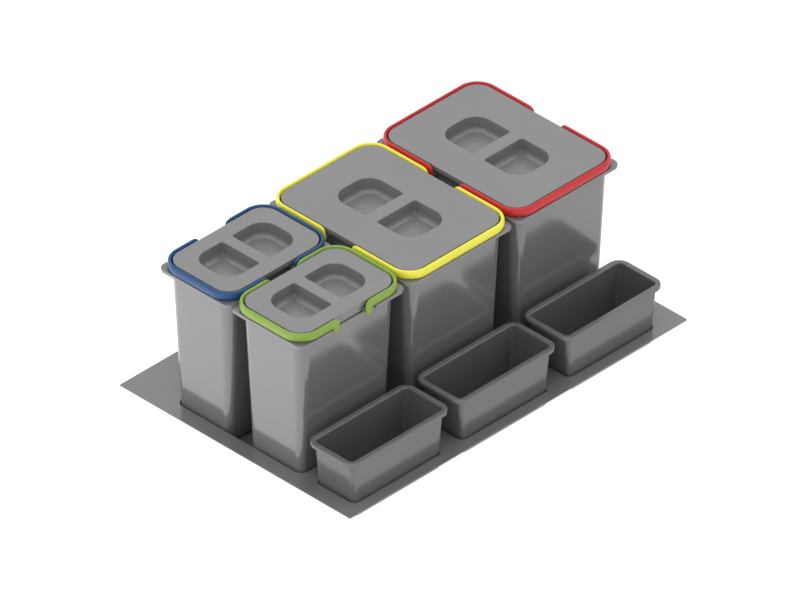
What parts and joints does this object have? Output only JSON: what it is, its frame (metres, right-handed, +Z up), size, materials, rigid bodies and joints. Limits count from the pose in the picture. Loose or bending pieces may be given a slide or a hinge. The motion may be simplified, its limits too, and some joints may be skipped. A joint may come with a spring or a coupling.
{
  "type": "waste sorting drawer insert",
  "caption": "Waste-sorting insert for a kitchen drawer: base tray with lidded tapered bins, coloured half-loop handles and open organiser boxes.",
  "frame": {"origin": "centre of the whole insert in plan, at the undersides of the tray pockets", "axes": "+X along the long side of the tray, +Y away from the organiser row towards the bins, +Z up"},
  "size_m": [0.75, 0.507, 0.3016],
  "materials": {
    "tray_grey": "satin thermoformed sheet",
    "bin_grey": "satin-gloss moulded",
    "lid_grey": "satin moulded",
    "organiser_grey": "satin-gloss moulded",
    "handle_yellow": "moulded, coloured through",
    "handle_red": "moulded, coloured through",
    "handle_blue": "moulded, coloured through",
    "handle_green": "moulded, coloured through"
  },
  "bodies": {
    "tray": {"base_tray": "tray_grey"},
    "bin_large_yellow": {"bin_large_yellow": "bin_grey"},
    "lid_large_yellow": {"lid_large_yellow": "lid_grey"},
    "handle_large_yellow_rear": {"handle_large_yellow_rear": "handle_yellow"},
    "handle_large_yellow_front": {"handle_large_yellow_front": "handle_yellow"},
    "bin_large_red": {"bin_large_red": "bin_grey"},
    "lid_large_red": {"lid_large_red": "lid_grey"},
    "handle_large_red_rear": {"handle_large_red_rear": "handle_red"},
    "handle_large_red_front": {"handle_large_red_front": "handle_red"},
    "bin_small_blue": {"bin_small_blue": "bin_grey"},
    "lid_small_blue": {"lid_small_blue": "lid_grey"},
    "handle_small_blue_right": {"handle_small_blue_right": "handle_blue"},
    "handle_small_blue_left": {"handle_small_blue_left": "handle_blue"},
    "bin_small_green": {"bin_small_green": "bin_grey"},
    "lid_small_green": {"lid_small_green": "lid_grey"},
    "handle_small_green_right": {"handle_small_green_right": "handle_green"},
    "handle_small_green_left": {"handle_small_green_left": "handle_green"},
    "organiser_left": {"organiser_left": "organiser_grey"},
    "organiser_middle": {"organiser_middle": "organiser_grey"},
    "organiser_right": {"organiser_right": "organiser_grey"}
  },
  "joints": [
    {"name": "bin_large_yellow_lift_out", "type": "slide", "parent": "tray", "child": "bin_large_yellow", "axis": [0, 0, 1], "range_m": [0, 0.32]},
    {"name": "lid_large_yellow_lift_off", "type": "slide", "parent": "bin_large_yellow", "child": "lid_large_yellow", "axis": [0, 0, 1], "range_m": [0, 0.17]},
    {"name": "handle_large_yellow_rear_swing", "type": "hinge", "parent": "bin_large_yellow", "child": "handle_large_yellow_rear", "pos_m": [-0.0114, 0.0551, 0.2824], "axis": [1, 0, 0], "range_deg": [0, 90]},
    {"name": "handle_large_yellow_front_swing", "type": "hinge", "parent": "bin_large_yellow", "child": "handle_large_yellow_front", "pos_m": [-0.0114, -0.0163, 0.2824], "axis": [-1, 0, 0], "range_deg": [0, 90]},
    {"name": "bin_large_red_lift_out", "type": "slide", "parent": "tray", "child": "bin_large_red", "axis": [0, 0, 1], "range_m": [0, 0.32]},
    {"name": "lid_large_red_lift_off", "type": "slide", "parent": "bin_large_red", "child": "lid_large_red", "axis": [0, 0, 1], "range_m": [0, 0.17]},
    {"name": "handle_large_red_rear_swing", "type": "hinge", "parent": "bin_large_red", "child": "handle_large_red_rear", "pos_m": [0.226, 0.0551, 0.2824], "axis": [1, 0, 0], "range_deg": [0, 90]},
    {"name": "handle_large_red_front_swing", "type": "hinge", "parent": "bin_large_red", "child": "handle_large_red_front", "pos_m": [0.226, -0.0163, 0.2824], "axis": [-1, 0, 0], "range_deg": [0, 90]},
    {"name": "bin_small_blue_lift_out", "type": "slide", "parent": "tray", "child": "bin_small_blue", "axis": [0, 0, 1], "range_m": [0, 0.32]},
    {"name": "lid_small_blue_lift_off", "type": "slide", "parent": "bin_small_blue", "child": "lid_small_blue", "axis": [0, 0, 1], "range_m": [0, 0.17]},
    {"name": "handle_small_blue_right_swing", "type": "hinge", "parent": "bin_small_blue", "child": "handle_small_blue_right", "pos_m": [-0.2131, 0.0983, 0.2824], "axis": [0, -1, 0], "range_deg": [0, 90]},
    {"name": "handle_small_blue_left_swing", "type": "hinge", "parent": "bin_small_blue", "child": "handle_small_blue_left", "pos_m": [-0.2845, 0.0983, 0.2824], "axis": [0, 1, 0], "range_deg": [0, 90]},
    {"name": "bin_small_green_lift_out", "type": "slide", "parent": "tray", "child": "bin_small_green", "axis": [0, 0, 1], "range_m": [0, 0.32]},
    {"name": "lid_small_green_lift_off", "type": "slide", "parent": "bin_small_green", "child": "lid_small_green", "axis": [0, 0, 1], "range_m": [0, 0.17]},
    {"name": "handle_small_green_right_swing", "type": "hinge", "parent": "bin_small_green", "child": "handle_small_green_right", "pos_m": [-0.2131, -0.0595, 0.2824], "axis": [0, -1, 0], "range_deg": [0, 90]},
    {"name": "handle_small_green_left_swing", "type": "hinge", "parent": "bin_small_green", "child": "handle_small_green_left", "pos_m": [-0.2845, -0.0595, 0.2824], "axis": [0, 1, 0], "range_deg": [0, 90]},
    {"name": "organiser_left_lift_out", "type": "slide", "parent": "tray", "child": "organiser_left", "axis": [0, 0, 1], "range_m": [0, 0.15]},
    {"name": "organiser_middle_lift_out", "type": "slide", "parent": "tray", "child": "organiser_middle", "axis": [0, 0, 1], "range_m": [0, 0.15]},
    {"name": "organiser_right_lift_out", "type": "slide", "parent": "tray", "child": "organiser_right", "axis": [0, 0, 1], "range_m": [0, 0.15]}
  ]
}
